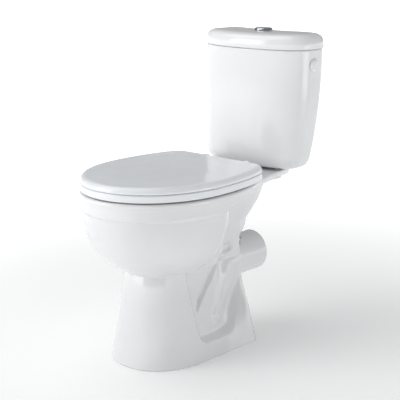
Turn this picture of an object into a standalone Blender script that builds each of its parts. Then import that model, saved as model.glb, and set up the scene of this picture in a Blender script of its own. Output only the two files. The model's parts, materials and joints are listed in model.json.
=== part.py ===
"""A close coupled toilet: pan, cistern, seat with lid, dual flush button and the fittings inside.

Metres, +Z up. The floor is z = 0, the front faces -Y, and x = 0 is the plane of symmetry.
The origin is on the floor at the middle of the overall depth.
"""

from math import cos, pi, radians, sin

import bmesh
import bpy
import numpy as np
from mathutils import Matrix, Vector

# ---- Driving dimensions -------------------------------------------------------------------------
GAP = 0.0003  # clearance between pieces that touch on the real object

# Plan
PAN_WIDTH = 0.343
SEAT_LENGTH = 0.4105
SEAT_TO_CISTERN = 0.062
CISTERN_LID_DEPTH = 0.149
RIM_FRONT_REACH = 0.212  # front of the rim to its widest line
RIM_BACK_REACH = 0.278
BOWL_BACK_REACH = 0.140  # of the bowl under the rim, at its largest

# Heights
RIM_HEIGHT = 0.405
BAND_HEIGHT = 0.039
BOWL_DEPTH = 0.170  # from under the band to the lowest point of the bowl's outside
DECK_THICKNESS = 0.014
DECK_CORNER = 0.030
CISTERN_LIFT = 0.004  # rubber-filled gap between deck and cistern
CISTERN_HEIGHT = 0.289

# Pan
CHINA_WALL = 0.011
FOOT_WIDTH = 0.234
FOOT_FRONT_INSET = 0.0765
PEDESTAL_BACK = 0.192  # distances called BACK are from the rear of the object
DECK_BACK = 0.045
DECK_FRONT_WIDTH = 0.262
DECK_END_WIDTH = 0.200
RIM_OPENING_WIDTH = 0.250
RIM_OPENING_FRONT = 0.048
RIM_OPENING_BACK = 0.105
CHANNEL_OFFSET = 0.010  # from the rim's opening out to the flush channel
OUTLET_RADIUS = 0.051
OUTLET_BORE = 0.043
OUTLET_HEIGHT = 0.184
OUTLET_BACK = 0.092
TRAP_RADIUS = 0.030
SUMP_BACK = 0.375
TRAP_LOW_HEIGHT = 0.098
WEIR_HEIGHT = 0.214
TRAP_BEND = 0.045
TRAP_TILT = radians(60)
TRAP_WALL = 0.008

# Cistern
CISTERN_WIDTH = 0.318
CISTERN_WALL = 0.008
CISTERN_FLOOR = 0.010
CISTERN_FRONT_SET_BACK = 0.002
CISTERN_TAPER = 0.0115  # each side, top to bottom
CISTERN_BACK_SWEEP = 0.040
LID_HEIGHT = 0.037
LID_OVERHANG = 0.0025

# Seat
SEAT_LIFT = 0.004
SEAT_THICKNESS = 0.017
LID_THICKNESS = 0.0175
SEAT_OPENING_WIDTH = 0.216
SEAT_OPENING_FRONT = 0.060
SEAT_OPENING_BACK = 0.088
HINGE_SPACING = 0.155
HINGE_SET_BACK = 0.019
HINGE_HEIGHT = 0.020  # of the hinge axis over the deck
HINGE_PIN_RADIUS = 0.0033
HINGE_BARREL_RADIUS = 0.0075
BUFFER_RADIUS = 0.007

# Flush button
BUTTON_BACK = 0.060
BUTTON_RADIUS = 0.0172
BUTTON_SLEEVE_RADIUS = BUTTON_RADIUS + 0.0023
PUSH_ROD_RADIUS = 0.0025

# Flush valve
VALVE_BACK = 0.092
SPIGOT_RADIUS = 0.0255
SPIGOT_BORE = SPIGOT_RADIUS - 0.0050
OVERFLOW_RADIUS = 0.0125
OVERFLOW_TOP = 0.232  # over the cistern's floor
LEVER_PIVOT_HEIGHT = 0.175  # over the cistern's floor
LEVER_PIVOT_BACK = 0.080
FLANGE_WIDTH = 0.0105  # of the valve's flange round its spigot, where the cistern has room for it

# Side inlet holes
INLET_BACK = 0.062
INLET_DROP = 0.037  # below the top of the cistern body
SHANK_RADIUS = 0.0102
SHANK_LENGTH = 0.0165  # outside the wall
PLUG_CAP_RADIUS = 0.0165
WASHER_RADIUS = 0.0145

# Fixings
CISTERN_BOLT_SPACING = 0.150
CISTERN_BOLT_RADIUS = 0.004
HINGE_STUD_RADIUS = 0.0035
STUD_LENGTH = 0.013  # below the deck
SLEEVE_RADIUS = 0.0068  # rubber sleeves that grip the hinge studs in the deck

# Mesh density
PAN_POINTS = 60
PLAN_POINTS = 40
ROUND_STEPS = 16

# ---- Places that follow from them ---------------------------------------------------------------
TOTAL_DEPTH = SEAT_LENGTH + SEAT_TO_CISTERN + CISTERN_LID_DEPTH
FRONT = -TOTAL_DEPTH / 2
BACK = TOTAL_DEPTH / 2
BOWL_Y = FRONT + RIM_FRONT_REACH
SEAT_BACK_Y = FRONT + SEAT_LENGTH
HINGE_Y = SEAT_BACK_Y + HINGE_SET_BACK
HINGE_Z = RIM_HEIGHT + HINGE_HEIGHT
PEDESTAL_BACK_Y = BACK - PEDESTAL_BACK
DECK_END_Y = BACK - DECK_BACK
VALVE_Y = BACK - VALVE_BACK
BUTTON_Y = BACK - BUTTON_BACK
DECK_UNDER = RIM_HEIGHT - DECK_THICKNESS
BAND_UNDER = RIM_HEIGHT - BAND_HEIGHT
BAND_CORNER_Z = BAND_UNDER + 0.014  # the band's rear end slopes forward below this
WEB_BACK_Y = SEAT_BACK_Y - 0.080  # rear of the body that covers the sump
BAND_BACK_Y = SEAT_BACK_Y - 0.141  # rear of the deep band at the widest part of the rim
COLLAR_Z = BAND_UNDER - 0.90 * BOWL_DEPTH  # where the bowl meets the pedestal
CISTERN_BOTTOM = RIM_HEIGHT + CISTERN_LIFT
CISTERN_TOP = CISTERN_BOTTOM + CISTERN_HEIGHT
FLOOR_Z = CISTERN_BOTTOM + CISTERN_FLOOR
LID_BOTTOM = CISTERN_TOP + GAP
LID_TOP = LID_BOTTOM + LID_HEIGHT
INLET_Y = BACK - INLET_BACK
INLET_Z = CISTERN_TOP - INLET_DROP
RING_UNDER = RIM_HEIGHT + SEAT_LIFT
RING_TOP = RING_UNDER + SEAT_THICKNESS
SEAT_LID_UNDER = RING_TOP + 0.0005
SEAT_LID_TOP = SEAT_LID_UNDER + LID_THICKNESS
VALVE_ROOM = CISTERN_LID_DEPTH - CISTERN_FRONT_SET_BACK - VALVE_BACK - CISTERN_WALL - 0.0105
FLANGE_RADIUS = min(SPIGOT_RADIUS + FLANGE_WIDTH, VALVE_ROOM)
RECESS_RADIUS = SPIGOT_RADIUS + 0.0125
RECESS_DEPTH = 0.016


# ---- Blender helpers ----------------------------------------------------------------------------
def clear_scene():
    for item in list(bpy.data.objects):
        bpy.data.objects.remove(item, do_unlink=True)


def new_collection(name):
    group = bpy.data.collections.new(name)
    bpy.context.scene.collection.children.link(group)
    return group


def make_material(name, colour, roughness, metallic=0.0):
    material = bpy.data.materials.new(name)
    material.use_nodes = True
    shader = material.node_tree.nodes["Principled BSDF"]
    shader.inputs["Base Color"].default_value = (*colour, 1.0)
    shader.inputs["Roughness"].default_value = roughness
    shader.inputs["Metallic"].default_value = metallic
    material.diffuse_color = (*colour, 1.0)
    return material


clear_scene()
PARTS = new_collection("close_coupled_toilet")
CUTTERS = new_collection("cutters")

FINISHES = {
    "china": ((0.90, 0.91, 0.92), 0.10, 0.0),
    "seat": ((0.88, 0.90, 0.91), 0.18, 0.0),
    "chrome": ((0.80, 0.81, 0.82), 0.08, 1.0),
    "steel": ((0.62, 0.63, 0.64), 0.30, 1.0),
    "rubber": ((0.05, 0.05, 0.05), 0.75, 0.0),
    "white_plastic": ((0.85, 0.85, 0.83), 0.40, 0.0),
    "grey_plastic": ((0.45, 0.47, 0.50), 0.45, 0.0),
    "buffer": ((0.80, 0.80, 0.78), 0.60, 0.0),
}


def add_object(name, mesh, finish=None):
    """Links a mesh as a part with its own material, or as a hidden cutter if it has no finish."""
    item = bpy.data.objects.new(name, mesh)
    if finish:
        mesh.materials.append(make_material(name, *FINISHES[finish]))
        PARTS.objects.link(item)
    else:
        item.hide_render = True
        item.display_type = "WIRE"
        CUTTERS.objects.link(item)
    mesh.shade_smooth()
    mesh.set_sharp_from_angle(angle=radians(35))
    return item


def mesh_from(bm, name):
    mesh = bpy.data.meshes.new(name)
    bmesh.ops.recalc_face_normals(bm, faces=bm.faces)
    bm.to_mesh(mesh)
    bm.free()
    return mesh


def loft(name, rings, finish=None, closed=False):
    """A skin over rings of equal point counts, capped at both ends or closed into a loop."""
    bm = bmesh.new()
    rows = [[bm.verts.new(point) for point in ring] for ring in rings]
    pairs = list(zip(rows, rows[1:]))
    if closed:
        pairs.append((rows[-1], rows[0]))
    else:
        bm.faces.new(rows[0])
        bm.faces.new(rows[-1])
    for low, high in pairs:
        for i in range(len(low)):
            j = (i + 1) % len(low)
            bm.faces.new((low[i], low[j], high[j], high[i]))
    return add_object(name, mesh_from(bm, name), finish)


def cylinder(name, radius, start, end, finish=None, steps=ROUND_STEPS):
    """A straight round bar between two points."""
    start, end = Vector(start), Vector(end)
    along = end - start
    bm = bmesh.new()
    bmesh.ops.create_cone(bm, cap_ends=True, segments=steps, radius1=radius, radius2=radius,
                          depth=along.length)
    turn = along.to_track_quat("Z", "Y").to_matrix().to_4x4()
    bm.transform(Matrix.Translation((start + end) / 2) @ turn)
    return add_object(name, mesh_from(bm, name), finish)


def bore(name, radius, start, end, steps=ROUND_STEPS):
    """A cutter for a round hole, whose flats lie no nearer the axis than the radius."""
    return cylinder(name, radius / cos(pi / steps), start, end, steps=steps)


def box(name, low, high, finish=None):
    """A box between two corners."""
    low, high = Vector(low), Vector(high)
    bm = bmesh.new()
    bmesh.ops.create_cube(bm, size=1.0)
    bm.transform(Matrix.Translation((low + high) / 2) @ Matrix.Diagonal((*(high - low), 1.0)))
    return add_object(name, mesh_from(bm, name), finish)


def turned(name, profile, place, finish=None, axis="Z", steps=ROUND_STEPS, closed=True):
    """A profile of (radius, height) points turned round an axis through place."""
    mesh = bpy.data.meshes.new(name)
    points = [(radius, 0.0, height) for radius, height in profile]
    edges = [(i, i + 1) for i in range(len(points) - 1)]
    if closed:
        edges.append((len(points) - 1, 0))
    mesh.from_pydata(points, edges, [])
    item = add_object(name, mesh, finish)
    item.location = place
    item.rotation_euler = {"Z": (0, 0, 0), "X": (0, pi / 2, 0), "-X": (0, -pi / 2, 0)}[axis]
    screw = item.modifiers.new("turn", "SCREW")
    screw.steps = steps
    screw.render_steps = steps
    screw.use_merge_vertices = True
    screw.merge_threshold = 0.00005
    return item


def tube_ring(name, inner, outer, bottom, top, place, finish, axis="Z", steps=ROUND_STEPS):
    """A plain washer or sleeve, whose bore's flats lie no nearer the axis than its radius."""
    inner /= cos(pi / steps)
    profile = [(outer, top), (outer, bottom), (inner, bottom), (inner, top)]
    return turned(name, profile, place, finish, axis, steps)


def swept_tube(name, radius, points):
    """A round tube along a route, as a closed mesh."""
    curve = bpy.data.curves.new(name, "CURVE")
    curve.dimensions = "3D"
    curve.bevel_depth = radius
    curve.bevel_resolution = 3
    curve.use_fill_caps = True
    spline = curve.splines.new("POLY")
    spline.points.add(len(points) - 1)
    for knot, point in zip(spline.points, points):
        knot.co = (*point, 1.0)
    guide = bpy.data.objects.new(name + "_guide", curve)
    CUTTERS.objects.link(guide)
    bpy.context.view_layer.update()
    evaluated = guide.evaluated_get(bpy.context.evaluated_depsgraph_get())
    mesh = bpy.data.meshes.new_from_object(evaluated)
    bpy.data.objects.remove(guide, do_unlink=True)
    bm = bmesh.new()
    bm.from_mesh(mesh)
    bmesh.ops.remove_doubles(bm, verts=bm.verts, dist=0.00001)
    return add_object(name, mesh_from(bm, name))


def combine(item, tool, operation):
    change = item.modifiers.new(tool.name, "BOOLEAN")
    change.operation = operation
    change.solver = "EXACT"
    change.object = tool


def cut(item, *tools):
    for tool in tools:
        combine(item, tool, "DIFFERENCE")


def join(item, *tools):
    for tool in tools:
        combine(item, tool, "UNION")


# ---- Plan outlines ------------------------------------------------------------------------------
def oval(half_width, front, back, front_power=2.0, back_power=2.0, count=PLAN_POINTS):
    """Points of an oval about the origin, evenly spaced, from the middle of the back."""
    turn = np.linspace(pi / 2, pi / 2 + 2 * pi, 721)
    across, along = np.cos(turn), np.sin(turn)
    power = np.where(along < 0, front_power, back_power)
    reach = np.where(along < 0, front, back)
    radius = (np.abs(across / half_width) ** power + np.abs(along / reach) ** power) ** (-1 / power)
    return even(np.stack([radius * across, radius * along], 1), count)


def even(points, count):
    """A closed outline's points moved to equal distances along it."""
    steps = np.hypot(*np.diff(points, axis=0).T)
    length = np.concatenate([[0], np.cumsum(steps)])
    wanted = np.linspace(0, length[-1], count, endpoint=False)
    return np.stack([np.interp(wanted, length, points[:, i]) for i in (0, 1)], 1)


def at_height(outline, centre_y, z):
    return [(x, y + centre_y, z) for x, y in outline]


def quarter_fillet(radius, steps=3):
    """Pairs of (inset, rise) round a quarter circle, from the side to the top."""
    turns = [pi / 2 * i / steps for i in range(steps + 1)]
    return [(radius * (1 - cos(t)), radius * sin(t)) for t in turns]


# ---- Pan ----------------------------------------------------------------------------------------
def smooth_union(first, second, fillet):
    """The lower of two distance fields, with a fillet between them."""
    overlap = np.clip(fillet - np.abs(first - second), 0.0, None)
    return np.minimum(first, second) - overlap**2 / (4.0 * fillet)


def oval_field(x, y, centre_y, half_width, front, back, power):
    """Roughly the distance outside an oval in plan, negative inside it."""
    reach = np.where(y < centre_y, front, back)
    level = (np.abs(x / half_width) ** power + np.abs((y - centre_y) / reach) ** power) ** (1 / power)
    return (level - 1) * np.minimum(half_width, np.minimum(front, back))


def rim_field(x, y, scale=1.0, back=RIM_BACK_REACH):
    """The egg shape of the rim in plan."""
    return oval_field(x, y, BOWL_Y, PAN_WIDTH / 2 * scale, RIM_FRONT_REACH * scale, back * scale, 2.05)


def bowl_scale(z):
    """Size of the bowl's outside against the rim, by height."""
    drop = np.clip((BAND_UNDER - z) / BOWL_DEPTH, 0.0, 0.985)
    return 0.975 * (1 - drop**2.2) ** (1 / 2.2)


def pedestal_field(x, y, z):
    """The round front of the pedestal, which fades into the bowl above the collar."""
    fraction = z / COLLAR_Z
    centre = FRONT + 0.2365
    width = np.interp(fraction, (0, 1, 1.06, 1.2), (1.0, 0.757, 0.60, 0.35)) * FOOT_WIDTH / 2
    front = np.interp(fraction, (0, 1, 1.06, 1.2), (1.0, 0.763, 0.63, 0.30))
    return oval_field(x, y, centre, width, front * (centre - FRONT - FOOT_FRONT_INSET), 0.125, 2.3)


def column_field(x, y, z):
    """The rear column, and the neck that flares from it up to the deck."""
    down = RIM_HEIGHT - z
    width = np.interp(z / COLLAR_Z, (0, 0.33, 0.70, 0.95), (0.117, 0.093, 0.064, 0.054))
    back = np.interp(-down, (-0.160, -0.135, -0.105, -0.075, -0.045, -0.016),
                     (0.058, 0.092, 0.140, 0.174, 0.190, 0.192))
    power = np.interp(-down, (-0.160, -0.120), (5.0, 2.0))
    return oval_field(x, y, PEDESTAL_BACK_Y - 0.058, width * FOOT_WIDTH / 0.234, 0.13, back, power)


def web_field(x, y, z):
    """The body behind the bowl that covers the sump."""
    width = np.interp(z, (0.6 * COLLAR_Z, COLLAR_Z, BAND_UNDER - 0.100), (0.050, 0.088, 0.098))
    return oval_field(x, y, WEB_BACK_Y - 0.085, width * PAN_WIDTH / 0.343, 0.10, 0.085, 5.0)


def deck_field(x, y):
    """The rear deck in plan: sides that close in towards a straight end."""
    start, end = SEAT_BACK_Y - 0.021, DECK_END_Y - 0.049
    slope = (DECK_END_WIDTH - DECK_FRONT_WIDTH) / 2 / (end - start)
    half_width = DECK_FRONT_WIDTH / 2 + (y - start) * slope
    side = np.abs(x) - half_width
    both = np.stack([side + DECK_CORNER, y - DECK_END_Y + DECK_CORNER])
    outside = np.hypot(*np.clip(both, 0, None)) + np.minimum(both.max(0), 0) - DECK_CORNER
    return np.maximum(outside, start - 0.050 - y)


def pan_field(x, y, z):
    """The plan of the pan's outside at a height, as a distance field."""
    field = rim_field(x, y, bowl_scale(z), BOWL_BACK_REACH)
    field = smooth_union(field, pedestal_field(x, y, z), 0.006)
    field = smooth_union(field, column_field(x, y, z), 0.020)
    field = smooth_union(field, web_field(x, y, z), 0.014)
    if z > BAND_UNDER:
        band = rim_field(x, y)
        if z < DECK_UNDER:
            slope = np.clip((BAND_CORNER_Z - z) / (BAND_CORNER_Z - BAND_UNDER), 0.0, None)
            band = np.maximum(band, y - BAND_BACK_Y + 0.030 * slope)
        field = smooth_union(field, band, 0.004)
    if z > RIM_HEIGHT - RECESS_DEPTH - 0.012:
        boss = np.hypot(x, y - VALVE_Y) - RECESS_RADIUS - 0.0095
        field = smooth_union(field, boss, 0.008)
    if z > DECK_UNDER:
        field = smooth_union(field, deck_field(x, y), 0.010)
    return field


def pan_ring(z, inset=0.0, angles=None):
    """The pan's outline at a height, found along rays from the middle of the bowl."""
    angles = PAN_ANGLES if angles is None else angles
    near, far = np.zeros(len(angles)), np.full(len(angles), 0.6)
    for _ in range(26):
        middle = (near + far) / 2
        inside = pan_field(middle * np.cos(angles), BOWL_Y + middle * np.sin(angles), z) < -inset
        near = np.where(inside, middle, near)
        far = np.where(inside, far, middle)
    return [(r * cos(t), BOWL_Y + r * sin(t), z) for r, t in zip(near, angles)]


def pan_angles(count):
    """Directions that space points evenly round the rim and deck."""
    dense = np.linspace(pi / 2, pi / 2 + 2 * pi, 721)
    outline = np.array(pan_ring(RIM_HEIGHT, 0.0, dense))[:, :2]
    spaced = even(outline, count)
    return np.unwrap(np.arctan2(spaced[:, 1] - BOWL_Y, spaced[:, 0]))


PAN_ANGLES = pan_angles(PAN_POINTS)


def pan_outside():
    top_edge = [(z_inset, RIM_HEIGHT - 0.004 + rise) for z_inset, rise in quarter_fillet(0.004, 2)]
    pedestal = [0.0, 0.004, 0.15, 0.35, 0.55, 0.75, 0.90, 0.985]
    rings = [pan_ring(COLLAR_Z * f, 0.001 if f == 0 else 0.0) for f in pedestal]
    neck = (0.183, 0.167, 0.150, 0.135, 0.120, 0.105, 0.090, 0.075, 0.060, 0.048)
    rings += [pan_ring(RIM_HEIGHT - drop) for drop in (*neck, BAND_HEIGHT + 0.0005)]
    boss_under = RIM_HEIGHT - RECESS_DEPTH - 0.012
    steps = (BAND_UNDER + 0.0005, boss_under - 0.0005, boss_under + 0.0005, BAND_CORNER_Z)
    rings += [pan_ring(z) for z in (*steps, DECK_UNDER - 0.0005, DECK_UNDER + 0.0005)]
    rings += [pan_ring(z, inset) for inset, z in top_edge]
    return loft("pan", rings, "china")


def bowl_cavity(name, offset=0.0, top=0.0):
    """The inside of the bowl down to the sump, or a jacket round it."""
    sump_y = BACK - SUMP_BACK
    half, front, back = PAN_WIDTH / 2, RIM_FRONT_REACH, BOWL_BACK_REACH
    stations = [  # half width, front reach, back reach, centre, height
        (half - 0.020, front - 0.022, back - 0.016, BOWL_Y, BAND_UNDER - 0.004),
        (half - 0.035, front - 0.040, back - 0.022, BOWL_Y, BAND_UNDER - 0.066),
        (half - 0.062, front - 0.070, back - 0.034, BOWL_Y, BAND_UNDER - 0.116),
        (0.062, 0.090, 0.080, (BOWL_Y + 2 * sump_y) / 3, COLLAR_Z),
        (0.048, 0.070, 0.068, sump_y, OUTLET_HEIGHT - 0.004),
        (0.040, 0.055, 0.060, sump_y, TRAP_LOW_HEIGHT + TRAP_RADIUS),
        (0.034, 0.044, 0.046, sump_y, TRAP_LOW_HEIGHT - 0.012),
        (0.021, 0.027, 0.029, sump_y, TRAP_LOW_HEIGHT - TRAP_RADIUS - 0.003),
    ]
    rings = [at_height(oval(w + offset, f + offset, b + offset), y, z - offset * (i == 7))
             for i, (w, f, b, y, z) in enumerate(stations)]
    if top:
        w, f, b = RIM_OPENING_WIDTH / 2, RIM_FRONT_REACH - RIM_OPENING_FRONT, RIM_OPENING_BACK
        w *= PAN_WIDTH / 0.343
        rings[:0] = [at_height(oval(w, f, b), BOWL_Y, z) for z in (top, BAND_UNDER - 0.0035)]
    return loft(name, rings)


def rim_channel():
    """The flush channel inside the rim, open downwards behind the rim's inner lip."""
    lip_width = RIM_OPENING_WIDTH / 2 * PAN_WIDTH / 0.343 + CHANNEL_OFFSET
    front, back = RIM_FRONT_REACH - RIM_OPENING_FRONT, RIM_OPENING_BACK + CHANNEL_OFFSET
    inner = (lip_width, front + CHANNEL_OFFSET, back)
    outer = (PAN_WIDTH / 2 - 0.021, RIM_FRONT_REACH - 0.022, back + CHANNEL_OFFSET)
    low, high = BAND_UNDER - 0.007, RIM_HEIGHT - 0.012
    places = ((outer, low), (outer, high), (inner, high), (inner, low))
    rings = [at_height(oval(*shape), BOWL_Y, z) for shape, z in places]
    return loft("rim_channel", rings, closed=True)


def trap_route():
    """The middle of the water trap, from the sump over the weir and out of the spigot."""
    low, weir = TRAP_LOW_HEIGHT, WEIR_HEIGHT
    bends = [TRAP_TILT * i / 4 for i in range(5)]
    rise = weir - low - 2 * TRAP_BEND * (1 - cos(TRAP_TILT))
    run = 2 * TRAP_BEND * sin(TRAP_TILT) + rise / sin(TRAP_TILT) * cos(TRAP_TILT)
    start = SUMP_BACK - 0.045
    top = start - run
    places = [(SUMP_BACK - 0.015, low)]
    places += [(start - TRAP_BEND * sin(t), low + TRAP_BEND * (1 - cos(t))) for t in bends]
    places += [(top + TRAP_BEND * sin(t), weir - TRAP_BEND * (1 - cos(t))) for t in reversed(bends)]
    places += [(top - 0.030, weir - 0.004), (top - 0.060, OUTLET_HEIGHT + 0.010),
               (OUTLET_BACK + 0.020, OUTLET_HEIGHT + 0.002)]
    return [(0.0, BACK - back, z) for back, z in places]


def make_pan():
    pan = pan_outside()
    spigot_front = PEDESTAL_BACK_Y - 0.030
    outlet_end = BACK - OUTLET_BACK
    spigot = cylinder("outlet_spigot", OUTLET_RADIUS, (0, spigot_front, OUTLET_HEIGHT),
                      (0, outlet_end, OUTLET_HEIGHT), steps=32)
    waste = bore("outlet_bore", OUTLET_BORE, (0, PEDESTAL_BACK_Y + 0.027, OUTLET_HEIGHT),
                 (0, outlet_end + 0.02, OUTLET_HEIGHT), steps=32)
    # space under the pedestal, round the sump and the trap
    levels = (-0.01, 0.05, 0.10, 0.145, 0.185)
    hollow_rings = [pan_ring(max(z, 0.0), CHINA_WALL) for z in levels]
    hollow_rings = [[(x, y, z) for x, y, _ in ring] for ring, z in zip(hollow_rings, levels)]
    hollow = loft("pedestal_hollow", hollow_rings)
    cut(hollow, bowl_cavity("sump_jacket", CHINA_WALL),
        swept_tube("trap_jacket", TRAP_RADIUS + TRAP_WALL, trap_route()),
        cylinder("spigot_jacket", OUTLET_RADIUS + 0.002,
                 (0, PEDESTAL_BACK_Y - 0.050, OUTLET_HEIGHT), (0, BACK, OUTLET_HEIGHT)))
    join(pan, spigot)
    cut(pan, hollow, bowl_cavity("bowl_cavity", 0.0, RIM_HEIGHT + 0.01), rim_channel(),
        swept_tube("trapway", TRAP_RADIUS, trap_route()), waste)
    # flush inlet under the cistern and its duct to the rim channel
    recess_floor = RIM_HEIGHT - RECESS_DEPTH
    cut(pan, bore("inlet_recess", RECESS_RADIUS, (0, VALVE_Y, recess_floor),
                  (0, VALVE_Y, RIM_HEIGHT + 0.01), steps=32))
    duct_start = VALVE_Y - RECESS_RADIUS + 0.008
    duct_end = BOWL_Y + RIM_OPENING_BACK + 1.5 * CHANNEL_OFFSET
    duct = swept_tube("flush_duct", 0.010, [
        (0, duct_start, recess_floor + 0.002), (0, duct_start - 0.035, recess_floor - 0.008),
        (0, (duct_start + duct_end) / 2, recess_floor - 0.012), (0, duct_end, recess_floor - 0.012)])
    cut(pan, duct)
    for x, y, radius in fixing_places():
        cut(pan, bore("deck_hole", radius, (x, y, DECK_UNDER - 0.03), (x, y, RIM_HEIGHT + 0.01)))


def fixing_places():
    """The four holes through the deck: x, y and radius."""
    places = []
    for side in (-1, 1):
        places.append((side * HINGE_SPACING / 2, HINGE_Y, SLEEVE_RADIUS + GAP))
        places.append((side * CISTERN_BOLT_SPACING / 2, VALVE_Y, CISTERN_BOLT_RADIUS + 0.001))
    return places


# ---- Cistern ------------------------------------------------------------------------------------
def cistern_plan(width, depth, inset=0.0):
    """Half width, front reach and back reach of a cistern outline, with its two corner powers."""
    back = 0.064 - 0.149 / 2 + depth / 2
    return width / 2 - inset, depth - back - inset, back - inset, 2.35, 5.0


def cistern_ring(z, inset=0.0, level=None):
    """Outline of the cistern body at a height, or that of another level moved to it."""
    level = z if level is None else level
    down = (CISTERN_TOP - min(max(level, CISTERN_BOTTOM), CISTERN_TOP)) / CISTERN_HEIGHT
    width = CISTERN_WIDTH - 2 * LID_OVERHANG - 2 * CISTERN_TAPER * down**2
    back_y = BACK - LID_OVERHANG - CISTERN_BACK_SWEEP * down**2.2
    front_y = BACK - CISTERN_LID_DEPTH + CISTERN_FRONT_SET_BACK
    depth = back_y - front_y
    plan = cistern_plan(width, depth, inset)
    return at_height(oval(*plan), back_y - inset - plan[2], z)


def wall_x(z):
    """Half width of the cistern body at a height."""
    return max(x for x, _, _ in cistern_ring(z))


def make_cistern():
    edge = quarter_fillet(0.016, 3)
    rings = [cistern_ring(CISTERN_BOTTOM + 0.016 - rise, inset) for inset, rise in reversed(edge)]
    body_levels = [CISTERN_BOTTOM + CISTERN_HEIGHT * f for f in (0.2, 0.4, 0.65, 1.0)]
    rings += [cistern_ring(z) for z in body_levels]
    cistern = loft("cistern", rings, "china")
    inner = [cistern_ring(FLOOR_Z, CISTERN_WALL + 0.008), cistern_ring(FLOOR_Z + 0.008, CISTERN_WALL)]
    inner += [cistern_ring(z, CISTERN_WALL) for z in body_levels]
    inner.append(cistern_ring(CISTERN_TOP + 0.01, CISTERN_WALL, CISTERN_TOP))
    cut(cistern, loft("cistern_inside", inner))
    drop = CISTERN_BOTTOM - 0.01
    cut(cistern, bore("valve_hole", SPIGOT_RADIUS + 0.0015, (0, VALVE_Y, drop),
                      (0, VALVE_Y, FLOOR_Z + 0.01)))
    for side in (-1, 1):
        x = side * CISTERN_BOLT_SPACING / 2
        cut(cistern, bore("bolt_hole", CISTERN_BOLT_RADIUS + 0.001, (x, VALVE_Y, drop),
                          (x, VALVE_Y, FLOOR_Z + 0.01)))
        wall = wall_x(INLET_Z)
        inner = wall - CISTERN_WALL
        for name, radius, start, end in (("inlet_hole", SHANK_RADIUS + 0.001, inner - 0.01, wall + 0.01),
                                         ("spot_face", WASHER_RADIUS + 0.0025, inner - 0.01, inner + GAP)):
            cut(cistern, bore(name, radius, (side * start, INLET_Y, INLET_Z),
                              (side * end, INLET_Y, INLET_Z), steps=20))


def make_cistern_lid():
    plan = cistern_plan(CISTERN_WIDTH, CISTERN_LID_DEPTH)
    centre_y = BACK - plan[2]

    def ring(z, inset):
        return at_height(oval(plan[0] - inset, plan[1] - inset, plan[2] - inset, *plan[3:]),
                         centre_y, z)

    shoulder = LID_BOTTOM + 0.022
    rounded = [ring(shoulder + rise * 0.85, inset) for inset, rise in quarter_fillet(0.014, 4)]
    rings = [ring(LID_BOTTOM, 0.0015), ring(LID_BOTTOM + 0.0015, 0.0), *rounded]
    rings += [ring(LID_TOP - 0.001, 0.035), ring(LID_TOP, 0.055)]
    lid = loft("cistern_lid", rings, "china")
    rib_inset = LID_OVERHANG + CISTERN_WALL + 0.0015
    rib = loft("locating_rib", [ring(LID_BOTTOM - 0.008, rib_inset), ring(LID_BOTTOM + 0.004, rib_inset)])
    join(lid, rib)
    inside = rib_inset + 0.005
    cut(lid, loft("lid_hollow", [ring(LID_BOTTOM - 0.02, inside), ring(shoulder - 0.004, inside),
                                 ring(LID_TOP - 0.010, inside + 0.012)]))
    cut(lid, bore("button_hole", BUTTON_SLEEVE_RADIUS + 0.001, (0, BUTTON_Y, LID_BOTTOM),
                  (0, BUTTON_Y, LID_TOP + 0.02), steps=32))


# ---- Seat ---------------------------------------------------------------------------------------
def seat_outline(inset=0.0):
    """Seat outline with a straight back edge and rounded corners, from the middle of the back."""
    turn = np.linspace(pi / 2, pi / 2 + 2 * pi, 721)
    across, along = np.cos(turn), np.sin(turn)
    half = PAN_WIDTH / 2
    reach = np.where(along < 0, RIM_FRONT_REACH, 0.320)
    egg = (np.abs(across / half) ** 2.05 + np.abs(along / reach) ** 2.05) ** (-1 / 2.05)
    edge = (SEAT_BACK_Y - BOWL_Y) / np.clip(along, 1e-3, None)
    radius = (egg**-14.0 + edge**-14.0) ** (-1 / 14.0)
    points = np.stack([radius * across, radius * along], 1)
    tangent = np.gradient(points[:-1], axis=0)
    tangent[0] = (-1.0, 0.0)
    normal = np.stack([-tangent[:, 1], tangent[:, 0]], 1)
    normal /= np.linalg.norm(normal, axis=1)[:, None]
    moved = points[:-1] + normal * inset
    return even(np.concatenate([moved, moved[:1]]), PLAN_POINTS)


def seat_ring_at(z, inset):
    return at_height(seat_outline(inset), BOWL_Y, z)


def opening_ring(z, inset):
    """Outline of the hole in the seat ring."""
    front = RIM_FRONT_REACH - SEAT_OPENING_FRONT
    back = SEAT_BACK_Y - BOWL_Y - SEAT_OPENING_BACK
    width = SEAT_OPENING_WIDTH / 2 * PAN_WIDTH / 0.343
    return at_height(oval(width - inset, front - inset, back - inset), BOWL_Y, z)


def hinge_leaf(name, side, start_x, end_x, low, high, reach):
    """An arm with a barrel round the hinge axis, to be joined to a seat piece."""
    first, last = sorted((side * start_x, side * end_x))
    arm = box(name + "_arm", (first, SEAT_BACK_Y - reach, low), (last, HINGE_Y, high))
    barrel = cylinder(name + "_barrel", HINGE_BARREL_RADIUS, (first - 0.0001, HINGE_Y, HINGE_Z),
                      (last + 0.0001, HINGE_Y, HINGE_Z))
    return arm, barrel


def pin_bore(name):
    reach = HINGE_SPACING / 2 + 0.03
    return bore(name, HINGE_PIN_RADIUS + 0.0004, (-reach, HINGE_Y, HINGE_Z),
                (reach, HINGE_Y, HINGE_Z), steps=20)


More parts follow.
